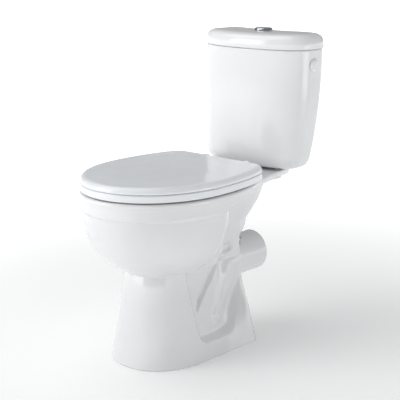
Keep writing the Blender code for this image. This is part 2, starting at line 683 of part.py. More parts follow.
def make_seat_ring():
    edge = 0.005
    rings = [seat_ring_at(RING_UNDER, 0.002), seat_ring_at(RING_UNDER + 0.002, 0.0),
             seat_ring_at(RING_TOP - edge, 0.0), seat_ring_at(RING_TOP - 0.0015, 0.0015),
             seat_ring_at(RING_TOP, edge), opening_ring(RING_TOP, -0.012),
             opening_ring(RING_TOP - 0.004, -0.003), opening_ring(RING_UNDER + 0.003, 0.0),
             opening_ring(RING_UNDER, -0.003)]
    ring = loft("seat_ring", rings, "seat", closed=True)
    post = HINGE_SPACING / 2
    for side in (-1, 1):
        join(ring, *hinge_leaf("ring_leaf", side, post + 0.008, post + 0.0195,
                               RING_UNDER + 0.003, RING_TOP - 0.004, 0.012))
    cut(ring, pin_bore("ring_bore"))


def make_seat_lid():
    shell = 0.0075
    shoulder = SEAT_LID_TOP - 0.010
    rings = [seat_ring_at(SEAT_LID_UNDER, 0.0015), seat_ring_at(SEAT_LID_UNDER + 0.0015, 0.0)]
    rings += [seat_ring_at(shoulder + rise * 0.85, inset) for inset, rise in quarter_fillet(0.008)]
    rings += [seat_ring_at(SEAT_LID_TOP - 0.001, 0.022), seat_ring_at(SEAT_LID_TOP, 0.034)]
    lid = loft("seat_lid", rings, "seat")
    under = [seat_ring_at(SEAT_LID_UNDER - 0.01, 0.014), seat_ring_at(SEAT_LID_UNDER + 0.004, 0.014),
             seat_ring_at(SEAT_LID_TOP - shell, 0.022)]
    cut(lid, loft("lid_underside", under))
    post = HINGE_SPACING / 2
    for side in (-1, 1):
        join(lid, *hinge_leaf("lid_leaf", side, post - 0.0195, post - 0.008,
                              SEAT_LID_UNDER + 0.001, SEAT_LID_UNDER + 0.010, 0.010))
    cut(lid, pin_bore("lid_bore"))


def make_seat_buffers():
    front_y, rear_y = FRONT + 0.075, SEAT_BACK_Y - 0.095
    sides = PAN_WIDTH / 2
    for name, y, x in (("front", front_y, 0.36 * sides), ("rear", rear_y, 0.80 * sides)):
        for side, word in ((-1, "left"), (1, "right")):
            profile = [(BUFFER_RADIUS - 0.001, RING_UNDER - GAP), (BUFFER_RADIUS, RING_UNDER - 0.001),
                       (BUFFER_RADIUS - 0.0005, RIM_HEIGHT + GAP)]
            turned(f"ring_buffer_{name}_{word}", [(0, profile[0][1]), *profile, (0, profile[-1][1])],
                   (side * x, y, 0), "buffer", closed=False, steps=16)
    under = SEAT_LID_TOP - 0.0075
    for side, word in ((-1, "left"), (1, "right")):
        profile = [(0, under - GAP), (0.006, under - GAP), (0.0055, RING_TOP + GAP), (0, RING_TOP + GAP)]
        turned(f"lid_buffer_{word}", profile, (side * 0.46 * sides, FRONT + 0.058, 0), "buffer",
               closed=False, steps=16)


def wing_nut(name, x, y, top, bore, finish):
    """A nut with two wings, its upper face at the given height."""
    nut = tube_ring(name, bore, bore + 0.0042, top - 0.008, top, (x, y, 0), finish, steps=16)
    for side in (-1, 1):
        first, last = sorted((y + side * (bore + 0.003), y + side * (bore + 0.0115)))
        join(nut, box("wing", (x - 0.0016, first, top - 0.011), (x + 0.0016, last, top - 0.001)))


def make_seat_hinges():
    for side, word in ((-1, "left"), (1, "right")):
        x = side * HINGE_SPACING / 2
        seal_top = RIM_HEIGHT + 0.0025
        tube_ring(f"hinge_seal_{word}", HINGE_STUD_RADIUS + 0.0004, 0.0165, RIM_HEIGHT + GAP,
                  seal_top, (x, HINGE_Y, 0), "rubber")
        flange = seal_top + GAP
        stud_end = DECK_UNDER + 0.0005
        profile = [(0, flange + 0.004), (0.016, flange + 0.003), (0.0175, flange),
                   (HINGE_STUD_RADIUS, flange), (HINGE_STUD_RADIUS, stud_end), (0, stud_end)]
        post = turned(f"hinge_post_{word}", profile, (x, HINGE_Y, 0), "chrome", closed=False)
        join(post, box("upright", (x - 0.007, HINGE_Y - 0.008, flange + 0.001),
                       (x + 0.007, HINGE_Y + 0.008, HINGE_Z + 0.001)),
             cylinder("knuckle", 0.008, (x - 0.0071, HINGE_Y, HINGE_Z),
                      (x + 0.0071, HINGE_Y, HINGE_Z)))
        cut(post, bore("post_bore", HINGE_PIN_RADIUS + GAP, (x - 0.02, HINGE_Y, HINGE_Z),
                       (x + 0.02, HINGE_Y, HINGE_Z), steps=20))
        cylinder(f"hinge_pin_{word}", HINGE_PIN_RADIUS, (x - 0.0200, HINGE_Y, HINGE_Z),
                 (x + 0.0200, HINGE_Y, HINGE_Z), "steel", steps=20)
        tube_ring(f"hinge_sleeve_{word}", HINGE_STUD_RADIUS + GAP, SLEEVE_RADIUS, DECK_UNDER + 0.001,
                  RIM_HEIGHT - 0.0005, (x, HINGE_Y, 0), "rubber")


# ---- Flush button -------------------------------------------------------------------------------
def make_button():
    well = BUTTON_RADIUS + 0.0006
    sleeve_end = LID_TOP - 0.032
    flange = LID_TOP + GAP
    profile = [(well + 0.001, flange + 0.0055), (BUTTON_SLEEVE_RADIUS + 0.0015, flange + 0.0045),
               (BUTTON_SLEEVE_RADIUS + 0.0035, flange + 0.001), (BUTTON_SLEEVE_RADIUS + 0.0035, flange),
               (BUTTON_SLEEVE_RADIUS, flange), (BUTTON_SLEEVE_RADIUS, sleeve_end),
               (well, sleeve_end), (well, flange + 0.0045)]
    turned("button_bezel", profile, (0, BUTTON_Y, 0), "chrome", steps=40)
    under = LID_TOP - 0.010 - GAP
    tube_ring("button_nut", BUTTON_SLEEVE_RADIUS + GAP, BUTTON_SLEEVE_RADIUS + 0.008,
              under - 0.008, under, (0, BUTTON_Y, 0), "white_plastic")
    top = flange + 0.005
    split = 0.0055  # the dividing line, towards the half flush side
    pivot_top = FLOOR_Z + LEVER_PIVOT_HEIGHT + 0.0025
    for name, side, rod_x in (("full", -1, -0.0110), ("half", 1, 0.0110)):
        button = turned(f"{name}_flush_button",
                        [(0, top), (BUTTON_RADIUS - 0.001, top), (BUTTON_RADIUS, top - 0.001),
                         (BUTTON_RADIUS, top - 0.009), (0, top - 0.009)],
                        (0, BUTTON_Y, 0), "chrome", closed=False, steps=40)
        edge = split + side * 0.0004
        far = edge - side * 0.06
        low, high = sorted((edge, far))
        cut(button, box("button_split", (low, BUTTON_Y - 0.03, top - 0.02),
                        (high, BUTTON_Y + 0.03, top + 0.01)))
        rod_top = top - 0.009 - GAP
        rod = cylinder(f"{name}_push_rod", PUSH_ROD_RADIUS, (rod_x, BUTTON_Y, pivot_top + GAP),
                       (rod_x, BUTTON_Y, rod_top), "white_plastic", steps=16)
        join(rod, box("rod_foot", *corners((rod_x, BUTTON_Y - 0.0015, pivot_top + GAP),
                                           (side * 0.0195, BUTTON_Y + 0.0015, pivot_top + 0.004))))


def corners(first, second):
    """The lowest and highest corner of the box between two points."""
    pairs = [sorted(pair) for pair in zip(first, second)]
    return tuple(p[0] for p in pairs), tuple(p[1] for p in pairs)


# ---- Flush valve --------------------------------------------------------------------------------
def make_flush_valve():
    place = (0, VALVE_Y, 0)
    washer_top = FLOOR_Z + 0.003
    tube_ring("flush_valve_washer", SPIGOT_RADIUS + 0.0004, FLANGE_RADIUS - 0.0005,
              FLOOR_Z + GAP, washer_top, place, "rubber")
    flange = washer_top + GAP
    seat = flange + 0.004
    cage_top = FLOOR_Z + 0.104
    outer = FLANGE_RADIUS - 0.0025
    spigot_end = RIM_HEIGHT - RECESS_DEPTH + 0.003
    profile = [(outer, cage_top), (outer, flange + 0.003), (FLANGE_RADIUS, flange + 0.003),
               (FLANGE_RADIUS, flange), (SPIGOT_RADIUS, flange), (SPIGOT_RADIUS, spigot_end),
               (SPIGOT_BORE, spigot_end), (SPIGOT_BORE, seat), (outer - 0.003, seat),
               (outer - 0.003, cage_top - 0.003), (OVERFLOW_RADIUS + 0.001, cage_top - 0.003),
               (OVERFLOW_RADIUS + 0.001, cage_top)]
    cage = turned("flush_valve_body", profile, place, "grey_plastic", steps=32)
    for i in range(2):
        across = (0.050, 0.011) if i else (0.011, 0.050)
        low = (-across[0], VALVE_Y - across[1], seat + 0.004)
        high = (across[0], VALVE_Y + across[1], cage_top - 0.016)
        cut(cage, box("water_window", low, high))
    # brackets that carry the two lever pivots
    pivot_y, pivot_z = BACK - LEVER_PIVOT_BACK, FLOOR_Z + LEVER_PIVOT_HEIGHT
    for side in (-1, 1):
        low, high = corners((side * 0.0225, pivot_y - 0.006, cage_top - 0.001),
                            (side * 0.0265, pivot_y + 0.006, pivot_z + 0.005))
        pin = cylinder("pivot_pin", 0.002, (side * 0.0240, pivot_y, pivot_z),
                       (side * 0.0140, pivot_y, pivot_z), steps=16)
        join(cage, box("bracket", low, high), pin)
    tube_ring("flush_valve_backnut", SPIGOT_RADIUS + GAP, SPIGOT_RADIUS + 0.0060,
              CISTERN_BOTTOM - GAP - 0.010, CISTERN_BOTTOM - GAP, place, "white_plastic")
    tube_ring("coupling_gasket", SPIGOT_RADIUS + 0.0065, RECESS_RADIUS - 0.0006,
              RIM_HEIGHT - RECESS_DEPTH + GAP, CISTERN_BOTTOM - GAP, place, "rubber")
    tube_ring("valve_seal", OVERFLOW_RADIUS - 0.0010, SPIGOT_BORE + 0.0050, seat + GAP,
              seat + 0.0035, place, "rubber")
    base = seat + 0.0035 + GAP
    top = FLOOR_Z + OVERFLOW_TOP
    tube_bore = OVERFLOW_RADIUS - 0.002
    tube = turned("overflow_tube",
                  [(OVERFLOW_RADIUS, top), (OVERFLOW_RADIUS, base + 0.004),
                   (SPIGOT_BORE + 0.0040, base + 0.003), (SPIGOT_BORE + 0.0040, base),
                   (tube_bore, base), (tube_bore, top)], place, "white_plastic")
    lever_top = pivot_z + 0.0025
    join(tube, box("lift_lug", (-0.0195, VALVE_Y - 0.0020, lever_top + GAP),
                   (-OVERFLOW_RADIUS + 0.001, VALVE_Y + 0.0010, lever_top + 0.005)))
    for name, side in (("full", -1), ("half", 1)):
        low, high = corners((side * 0.0145, VALVE_Y - 0.003, pivot_z - 0.0025),
                            (side * 0.0205, BUTTON_Y + 0.004, lever_top))
        lever = box(f"{name}_flush_lever", low, high, "grey_plastic")
        cut(lever, bore("lever_bore", 0.0024, (side * 0.010, pivot_y, pivot_z),
                        (side * 0.030, pivot_y, pivot_z)))


# ---- Fill valve and the side holes --------------------------------------------------------------
def hex_nut(name, start_x, end_x):
    """A six-sided nut on the thread of a side hole."""
    nut = cylinder(name, SHANK_RADIUS + 0.0060, (start_x, INLET_Y, INLET_Z),
                   (end_x, INLET_Y, INLET_Z), "white_plastic", steps=6)
    low, high = sorted((start_x, end_x))
    cut(nut, bore("nut_bore", SHANK_RADIUS + GAP, (low - 0.01, INLET_Y, INLET_Z),
                  (high + 0.01, INLET_Y, INLET_Z)))


def make_fill_valve():
    wall = wall_x(INLET_Z)
    inner = -(wall - CISTERN_WALL)
    place = (0, INLET_Y, INLET_Z)
    # along -X: distances from the middle of the cistern
    shank_end = wall + SHANK_LENGTH
    collar = -inner - 0.0042
    body_end = 0.082
    profile = [(0, shank_end - 0.012), (0.0065, shank_end - 0.012), (0.0065, shank_end),
               (SHANK_RADIUS, shank_end), (SHANK_RADIUS, collar), (0.0155, collar),
               (0.0155, collar - 0.004), (0.0125, collar - 0.006), (0.0125, body_end), (0, body_end)]
    body = turned("fill_valve_body", profile, place, "white_plastic", "-X", closed=False)
    rod_x, rod_low = -(body_end + 0.014), INLET_Z - 0.108
    outlet_x = -(body_end + 0.044)
    join(body, cylinder("guide_rod", 0.003, (rod_x, INLET_Y, rod_low),
                        (rod_x, INLET_Y, INLET_Z), steps=16),
         cylinder("guide_stop", 0.006, (rod_x, INLET_Y, rod_low),
                  (rod_x, INLET_Y, rod_low + 0.003), steps=16),
         cylinder("silence_tube", 0.0055, (outlet_x, INLET_Y, INLET_Z - 0.150),
                  (outlet_x, INLET_Y, INLET_Z), steps=16))
    float_low = rod_low + 0.003 + GAP
    tube_ring("fill_valve_float", 0.0035, 0.0185, float_low, float_low + 0.060,
              (rod_x, INLET_Y, 0), "grey_plastic")
    tube_ring("fill_valve_washer", SHANK_RADIUS + 0.0004, WASHER_RADIUS, collar + GAP, -inner - 0.0008,
              place, "rubber", "-X")
    hex_nut("fill_valve_backnut", -(wall + 0.0006), -(wall + 0.0076))


def make_inlet_plug():
    wall = wall_x(INLET_Z)
    inner = wall - CISTERN_WALL
    place = (0, INLET_Y, INLET_Z)
    face = wall + 0.0004
    cap = PLUG_CAP_RADIUS
    profile = [(0, face + 0.0045), (0.6 * cap, face + 0.0040), (0.9 * cap, face + 0.0025), (cap, face),
               (SHANK_RADIUS, face), (SHANK_RADIUS, inner - 0.014), (0, inner - 0.014)]
    turned("inlet_plug", profile, place, "china", "X", closed=False)
    tube_ring("inlet_plug_washer", SHANK_RADIUS + 0.0004, WASHER_RADIUS, inner - 0.0034, inner - 0.0008,
              place, "rubber", "X")
    hex_nut("inlet_plug_nut", inner - 0.0102, inner - 0.0034 - GAP)


# ---- Cistern fixings ----------------------------------------------------------------------------
def make_cistern_bolts():
    for side, word in ((-1, "left"), (1, "right")):
        x = side * CISTERN_BOLT_SPACING / 2
        place = (x, VALVE_Y, 0)
        washer_top = FLOOR_Z + 0.003
        tube_ring(f"cistern_bolt_seal_{word}", CISTERN_BOLT_RADIUS + 0.0004, 0.0105, FLOOR_Z + GAP,
                  washer_top, place, "rubber")
        head = washer_top + GAP
        end = DECK_UNDER - STUD_LENGTH
        turned(f"cistern_bolt_{word}",
               [(0, head + 0.005), (0.006, head + 0.004), (0.0095, head), (CISTERN_BOLT_RADIUS, head),
                (CISTERN_BOLT_RADIUS, end), (0, end)], place, "steel", closed=False)
        under = DECK_UNDER - GAP
        tube_ring(f"cistern_bolt_washer_{word}", CISTERN_BOLT_RADIUS + GAP, 0.0105, under - 0.0016,
                  under, place, "steel")
        wing_nut(f"cistern_wing_nut_{word}", x, VALVE_Y, under - 0.0016 - GAP,
                 CISTERN_BOLT_RADIUS + GAP, "white_plastic")


make_pan()
make_cistern()
make_cistern_lid()
make_seat_ring()
make_seat_lid()
make_seat_buffers()
make_seat_hinges()
make_button()
make_flush_valve()
make_fill_valve()
make_inlet_plug()
make_cistern_bolts()
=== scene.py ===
"""Looks of the close coupled toilet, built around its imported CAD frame.

Metres, +Z up. The front faces -Y and x = 0 is the plane of symmetry. The large glazed and moulded
pieces are made again as fine meshes from distance fields, which give every edge and inside corner
its rounding. The small fittings keep their CAD shape.
"""

import json
from math import cos, pi, radians, sin

import bmesh
import bpy
import numpy as np
from mathutils import Matrix, Vector


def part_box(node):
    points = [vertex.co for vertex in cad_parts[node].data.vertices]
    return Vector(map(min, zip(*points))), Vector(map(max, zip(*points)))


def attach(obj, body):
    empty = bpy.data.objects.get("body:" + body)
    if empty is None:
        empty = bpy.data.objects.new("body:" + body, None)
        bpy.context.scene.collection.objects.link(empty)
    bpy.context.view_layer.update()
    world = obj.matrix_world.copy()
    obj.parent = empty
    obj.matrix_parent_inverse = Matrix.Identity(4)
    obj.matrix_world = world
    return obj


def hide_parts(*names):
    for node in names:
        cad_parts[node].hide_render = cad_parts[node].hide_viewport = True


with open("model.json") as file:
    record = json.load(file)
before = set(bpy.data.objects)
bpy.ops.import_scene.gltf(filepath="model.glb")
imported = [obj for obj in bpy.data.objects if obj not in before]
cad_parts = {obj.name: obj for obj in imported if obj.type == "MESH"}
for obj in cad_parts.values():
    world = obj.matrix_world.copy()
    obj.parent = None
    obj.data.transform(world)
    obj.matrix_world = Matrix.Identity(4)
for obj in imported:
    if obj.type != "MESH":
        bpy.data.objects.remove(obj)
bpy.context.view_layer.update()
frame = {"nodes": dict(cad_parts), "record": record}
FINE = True

# ---- Camera, floor and light --------------------------------------------------------------------
CAMERA_AZIMUTH = radians(42.52)
CAMERA_ELEVATION = radians(13.39)
CAMERA_DISTANCE = 2.547
CAMERA_TARGET = Vector((0.0, -0.0192, 0.380))
CAMERA_LENS = 97.5


def aim(item, target):
    """Points a camera or lamp at a place."""
    item.rotation_euler = (Vector(target) - item.location).to_track_quat("-Z", "Y").to_euler()


def make_camera():
    data = bpy.data.cameras.new("camera")
    data.lens = CAMERA_LENS
    data.shift_x, data.shift_y = 0.0275, -0.0264
    camera = bpy.data.objects.new("camera", data)
    flat = cos(CAMERA_ELEVATION)
    back = Vector((sin(CAMERA_AZIMUTH) * flat, -cos(CAMERA_AZIMUTH) * flat, sin(CAMERA_ELEVATION)))
    camera.location = CAMERA_TARGET + back * CAMERA_DISTANCE
    aim(camera, CAMERA_TARGET)
    bpy.context.scene.collection.objects.link(camera)
    bpy.context.scene.camera = camera


def softbox(name, place, target, width, height, power):
    """A rectangular area lamp aimed at a place."""
    data = bpy.data.lights.new(name, "AREA")
    data.shape = "RECTANGLE"
    data.size, data.size_y = width, height
    data.energy = power
    lamp = bpy.data.objects.new(name, data)
    lamp.location = place
    aim(lamp, target)
    bpy.context.scene.collection.objects.link(lamp)


def stage_sheet(name, corners, faces, near_glow, far_glow):
    """A plain sheet of the studio that gives off more light of its own away from the object."""
    mesh = bpy.data.meshes.new(name)
    mesh.from_pydata(corners, [], faces)
    sheet = bpy.data.objects.new(name, mesh)
    bpy.context.scene.collection.objects.link(sheet)
    material = bpy.data.materials.new(name)
    material.use_nodes = True
    nodes, links = material.node_tree.nodes, material.node_tree.links
    shader = nodes["Principled BSDF"]
    shader.inputs["Base Color"].default_value = (0.90, 0.90, 0.90, 1.0)
    shader.inputs["Roughness"].default_value = 0.9
    shader.inputs["Specular IOR Level"].default_value = 0.1
    shader.inputs["Emission Color"].default_value = (1.0, 1.0, 1.0, 1.0)
    away = nodes.new("ShaderNodeVectorMath")
    away.operation = "LENGTH"
    links.new(nodes.new("ShaderNodeTexCoord").outputs["Object"], away.inputs[0])
    glow = nodes.new("ShaderNodeMapRange")
    glow.interpolation_type = "SMOOTHSTEP"
    glow.inputs["From Min"].default_value = 0.45
    glow.inputs["From Max"].default_value = 2.2
    glow.inputs["To Min"].default_value = near_glow
    glow.inputs["To Max"].default_value = far_glow
    links.new(away.outputs["Value"], glow.inputs["Value"])
    links.new(glow.outputs["Result"], shader.inputs["Emission Strength"])
    mesh.materials.append(material)


def make_studio():
    """A dim even sky, three soft lamps, and a round pale floor with a low bright wall at its edge."""
    world = bpy.data.worlds.new("studio")
    bpy.context.scene.world = world
    world.use_nodes = True
    sky = world.node_tree.nodes["Background"]
    sky.inputs["Color"].default_value = (0.97, 0.985, 1.0, 1.0)
    sky.inputs["Strength"].default_value = 0.34
    middle = (0.0, 0.0, 0.40)
    softbox("overhead", (-0.8, -0.6, 3.0), middle, 2.6, 2.6, 36.0)
    softbox("front_left", (-2.2, -3.4, 1.7), middle, 2.4, 2.4, 58.0)
    softbox("right_low", (3.0, 0.9, 0.35), (0.0, 0.0, 0.15), 1.6, 0.6, 6.5)
    reach, steps, wall = 9.0, 32, 1.0
    circle = [(reach * cos(2 * pi * i / steps), reach * sin(2 * pi * i / steps)) for i in range(steps)]
    stage_sheet("floor", [(x, y, -0.0005) for x, y in circle], [tuple(range(steps))], 0.20, 0.75)
    stage_sheet("backdrop", [(x, y, z) for z in (-0.0005, wall) for x, y in circle],
                [(i, (i + 1) % steps, steps + (i + 1) % steps, steps + i) for i in range(steps)], 1.0, 1.0)
    bpy.context.scene.view_settings.view_transform = "Standard"


make_camera()
make_studio()


# ---- Materials ----------------------------------------------------------------------------------
class Finish:
    """A material with detail from noise in the object's own space."""

    def __init__(self, name, roughness, **constants):
        self.material = bpy.data.materials.new(name)
        self.material.use_nodes = True
        self.nodes = self.material.node_tree.nodes
        self.links = self.material.node_tree.links
        self.shader = self.nodes["Principled BSDF"]
        self.place = self.nodes.new("ShaderNodeTexCoord").outputs["Object"]
        self.shader.inputs["Roughness"].default_value = roughness
        for socket, value in constants.items():
            self.shader.inputs[socket.replace("_", " ")].default_value = value

    def noise(self, scale, detail=2.0, stretch=(1.0, 1.0, 1.0)):
        mapping = self.nodes.new("ShaderNodeMapping")
        mapping.inputs["Scale"].default_value = stretch
        texture = self.nodes.new("ShaderNodeTexNoise")
        texture.inputs["Scale"].default_value = scale
        texture.inputs["Detail"].default_value = detail
        self.links.new(self.place, mapping.inputs["Vector"])
        self.links.new(mapping.outputs["Vector"], texture.inputs["Vector"])
        return texture.outputs["Fac"]

    def colour(self, source, *stops):
        """Base colour from a ramp of (position, (r, g, b)) stops."""
        ramp = self.nodes.new("ShaderNodeValToRGB")
        elements = ramp.color_ramp.elements
        while len(elements) < len(stops):
            elements.new(0.5)
        for element, (position, colour) in zip(elements, stops):
            element.position = position
            element.color = (*colour, 1.0)
        self.links.new(source, ramp.inputs["Fac"])
        self.links.new(ramp.outputs["Color"], self.shader.inputs["Base Color"])

    def roughness(self, source, low, high):
        spread = self.nodes.new("ShaderNodeMapRange")
        spread.inputs["From Min"].default_value = 0.3
        spread.inputs["From Max"].default_value = 0.7
        spread.inputs["To Min"].default_value = low
        spread.inputs["To Max"].default_value = high
        self.links.new(source, spread.inputs["Value"])
        self.links.new(spread.outputs["Result"], self.shader.inputs["Roughness"])

    def bump(self, *layers):
        """Relief from (noise, height in metres) layers."""
        normal = None
        for source, height in layers:
            relief = self.nodes.new("ShaderNodeBump")
            relief.inputs["Distance"].default_value = height
            self.links.new(source, relief.inputs["Height"])
            if normal:
                self.links.new(normal, relief.inputs["Normal"])
            normal = relief.outputs["Normal"]
        self.links.new(normal, self.shader.inputs["Normal"])


def china():
    """Fired white glaze: a slow waviness, a faint orange peel, and a faint uneven tone in its colour."""
    finish = Finish("glazed_china", 0.10, IOR=1.52, Coat_Weight=0.25, Coat_Roughness=0.04)
    finish.colour(finish.noise(9.0, 4.0), (0.35, (0.760, 0.764, 0.770)), (0.65, (0.790, 0.793, 0.798)))
    finish.roughness(finish.noise(16.0, 3.0), 0.085, 0.15)
    finish.bump((finish.noise(11.0, 1.0), 0.0012), (finish.noise(160.0, 2.0), 0.00002))
    return finish.material


def seat_plastic():
    """Pressed glossy duroplast, a touch bluer than the china, with a very fine texture."""
    finish = Finish("seat_duroplast", 0.16, IOR=1.50, Coat_Weight=0.15, Coat_Roughness=0.08)
    finish.colour(finish.noise(14.0, 3.0), (0.35, (0.800, 0.822, 0.840)), (0.65, (0.822, 0.842, 0.860)))
    finish.roughness(finish.noise(60.0, 4.0), 0.12, 0.20)
    finish.bump((finish.noise(7.0, 1.0), 0.0006), (finish.noise(900.0, 2.0), 0.000006))
    return finish.material


def chrome():
    """Plated chrome, a little smoky, with fine wipe marks in its gloss."""
    finish = Finish("chrome_plate", 0.07, Metallic=1.0)
    finish.colour(finish.noise(120.0, 3.0), (0.3, (0.40, 0.41, 0.43)), (0.7, (0.46, 0.47, 0.49)))
    finish.roughness(finish.noise(300.0, 4.0), 0.04, 0.12)
    finish.bump((finish.noise(500.0, 2.0), 0.000004))
    return finish.material


def zinc_steel():
    """Bright zinc plating, dulled in patches, with turning marks round the bolts."""
    finish = Finish("zinc_steel", 0.32, Metallic=1.0)
    finish.colour(finish.noise(90.0, 5.0), (0.3, (0.50, 0.51, 0.52)), (0.7, (0.66, 0.66, 0.65)))
    finish.roughness(finish.noise(140.0, 4.0), 0.22, 0.42)
    finish.bump((finish.noise(260.0, 2.0, (1.0, 1.0, 12.0)), 0.00004))
    return finish.material


def rubber():
    """Matte black rubber with a fine grain and paler dusty patches."""
    finish = Finish("black_rubber", 0.7, Specular_IOR_Level=0.3)
    finish.colour(finish.noise(180.0, 5.0), (0.3, (0.018, 0.018, 0.019)), (0.7, (0.040, 0.040, 0.041)))
    finish.roughness(finish.noise(220.0, 4.0), 0.60, 0.82)
    finish.bump((finish.noise(1400.0, 3.0), 0.00004))
    return finish.material


def moulded(name, dark, light, low, high):
    """Injection-moulded plastic with a spark-eroded grain and faint flow marks."""
    finish = Finish(name, low)
    finish.colour(finish.noise(30.0, 4.0, (1.0, 1.0, 0.3)), (0.3, dark), (0.7, light))
    finish.roughness(finish.noise(200.0, 4.0), low, high)
    finish.bump((finish.noise(1600.0, 3.0), 0.00002), (finish.noise(40.0, 2.0), 0.0002))
    return finish.material


MATERIALS = {
    "china": china(),
    "plug": moulded("plug_plastic", (0.74, 0.75, 0.76), (0.79, 0.79, 0.80), 0.22, 0.34),
    "seat": seat_plastic(),
    "chrome": chrome(),
    "steel": zinc_steel(),
    "rubber": rubber(),
    "white_plastic": moulded("white_polypropylene", (0.72, 0.72, 0.70), (0.80, 0.80, 0.78), 0.35, 0.5),
    "grey_plastic": moulded("grey_abs", (0.20, 0.22, 0.25), (0.27, 0.29, 0.32), 0.38, 0.52),
    "buffer": moulded("soft_buffer", (0.66, 0.66, 0.62), (0.74, 0.74, 0.70), 0.5, 0.7),
}


# ---- Finishes by the record's slots -------------------------------------------------------------
SLOTS = {piece["node"]: piece["material_slot"] for piece in frame["record"]["subparts"]}
BODY_OF = {node: body for body, nodes in frame["record"]["behaviour"]["bodies"].items() for node in nodes}
REMADE = set()


def dress(item, slot_name):
    """Gives a piece the finish of one of the record's slots."""
    item.data.materials.clear()
    item.data.materials.append(MATERIALS[slot_name])


def stand_in(item, node):
    """Shows a visual piece instead of a CAD node, on the node's body and with its finish."""
    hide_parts(node)
    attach(item, BODY_OF[node])
    dress(item, SLOTS[node])
    REMADE.add(node)


# ---- Meshes from distance fields ----------------------------------------------------------------
def union(first, second, fillet):
    """The lower of two distance fields, with a rounded inside corner between them."""
    overlap = np.clip(fillet - np.abs(first - second), 0.0, None)
    return np.minimum(first, second) - overlap**2 / (4.0 * fillet)


def without(first, second, fillet):
    """The first field with the second taken out of it, its edges rounded."""
    return -union(-first, second, fillet)


def both(first, second, fillet):
    """Where two fields overlap, with a rounded edge between them."""
    return -union(-first, -second, fillet)


def smooth_step(value, start, end):
    t = np.clip((value - start) / (end - start), 0.0, 1.0)
    return t * t * (3 - 2 * t)


def curve(value, knots, results):
    """A smooth curve through knots (monotone cubic), held level beyond its ends."""
    knots, results = np.asarray(knots, float), np.asarray(results, float)
    steps, rises = np.diff(knots), np.diff(results)
    slopes = rises / steps
    tangents = np.zeros_like(results)
    inner = slopes[:-1] * slopes[1:] > 0
    w1, w2 = 2 * steps[1:] + steps[:-1], steps[1:] + 2 * steps[:-1]
    with np.errstate(divide="ignore", invalid="ignore"):
        mean = (w1 + w2) / (w1 / slopes[:-1] + w2 / slopes[1:])
    tangents[1:-1] = np.where(inner, mean, 0.0)
    tangents[0], tangents[-1] = slopes[0], slopes[-1]
    value = np.clip(value, knots[0], knots[-1])
    i = np.clip(np.searchsorted(knots, value) - 1, 0, len(steps) - 1)
    h, t = steps[i], (value - knots[i]) / steps[i]
    return ((2 * t**3 - 3 * t**2 + 1) * results[i] + (t**3 - 2 * t**2 + t) * h * tangents[i]
            + (3 * t**2 - 2 * t**3) * results[i + 1] + (t**3 - t**2) * h * tangents[i + 1])


def surface_net(field, low, high, cell):
    """Vertices and quads of the zero level of a field(x, y, z) that's the same on both sides of x = 0.

    The half with x > 0 is made on a grid and mirrored; low[0] is 0.
    """
    axes = [np.arange(a - (0.5 * cell if i == 0 else 0.0), b + cell, cell)
            for i, (a, b) in enumerate(zip(low, high))]
    values = np.empty([len(axis) for axis in axes])
    ys, zs = np.meshgrid(axes[1], axes[2], indexing="ij")
    for i, x in enumerate(axes[0]):
        values[i] = field(np.abs(np.full_like(ys, x)), ys, zs)
    inside = values < 0
    corner_inside = [inside[a:a + s[0], b:b + s[1], c:c + s[2]]
                     for s in [[n - 1 for n in inside.shape]]
                     for a in (0, 1) for b in (0, 1) for c in (0, 1)]
    mixed = np.any(corner_inside, axis=0) & ~np.all(corner_inside, axis=0)
    index = np.full(mixed.shape, -1)
    cells = np.argwhere(mixed)
    index[tuple(cells.T)] = np.arange(len(cells))
    total, count = np.zeros((len(cells), 3)), np.zeros(len(cells))
    corners = np.array([(a, b, c) for a in (0, 1) for b in (0, 1) for c in (0, 1)])
    for start in range(8):
        for end in range(start + 1, 8):
            step = corners[end] - corners[start]
            if np.abs(step).sum() != 1:
                continue
            v0 = values[tuple((cells + corners[start]).T)]
            v1 = values[tuple((cells + corners[end]).T)]
            crosses = (v0 < 0) != (v1 < 0)
            t = np.where(crosses, v0 / np.where(crosses, v0 - v1, 1.0), 0.0)
            total += np.where(crosses[:, None], corners[start] + t[:, None] * step, 0.0)
            count += crosses
    points = (cells + total / count[:, None]) * cell + np.array([axis[0] for axis in axes])
    quads = []
    for axis in range(3):
        u, v = [other for other in range(3) if other != axis]
        lower = [slice(None)] * 3
        upper = [slice(None)] * 3
        lower[axis], upper[axis] = slice(0, -1), slice(1, None)
        for a in (u, v):
            lower[a] = upper[a] = slice(1, -1)
        starts_in, ends_in = inside[tuple(lower)], inside[tuple(upper)]
        for crossing, flip in ((starts_in & ~ends_in, False), (~starts_in & ends_in, True)):
            base = np.argwhere(crossing)
            base[:, u] += 1
            base[:, v] += 1
            ring = []
            for du, dv in ((1, 1), (0, 1), (0, 0), (1, 0)):
                at = base.copy()
                at[:, u] -= du
                at[:, v] -= dv
                ring.append(index[tuple(at.T)])
            ring = np.stack(ring, 1)
            quads.append(ring[:, ::-1] if flip != (axis == 1) else ring)
    quads = np.concatenate(quads)
    quads = quads[(quads >= 0).all(1)]
    return mirrored(field, points, quads, cell)


def gradient(field, points):
    """Slope of a field at points, by central differences."""
    h = 0.0004
    x, y, z = points.T
    slopes = [field(np.abs(x + a), y + b, z + c) - field(np.abs(x - a), y - b, z - c)
              for a, b, c in ((h, 0, 0), (0, h, 0), (0, 0, h))]
    return np.stack(slopes, 1) / (2 * h)


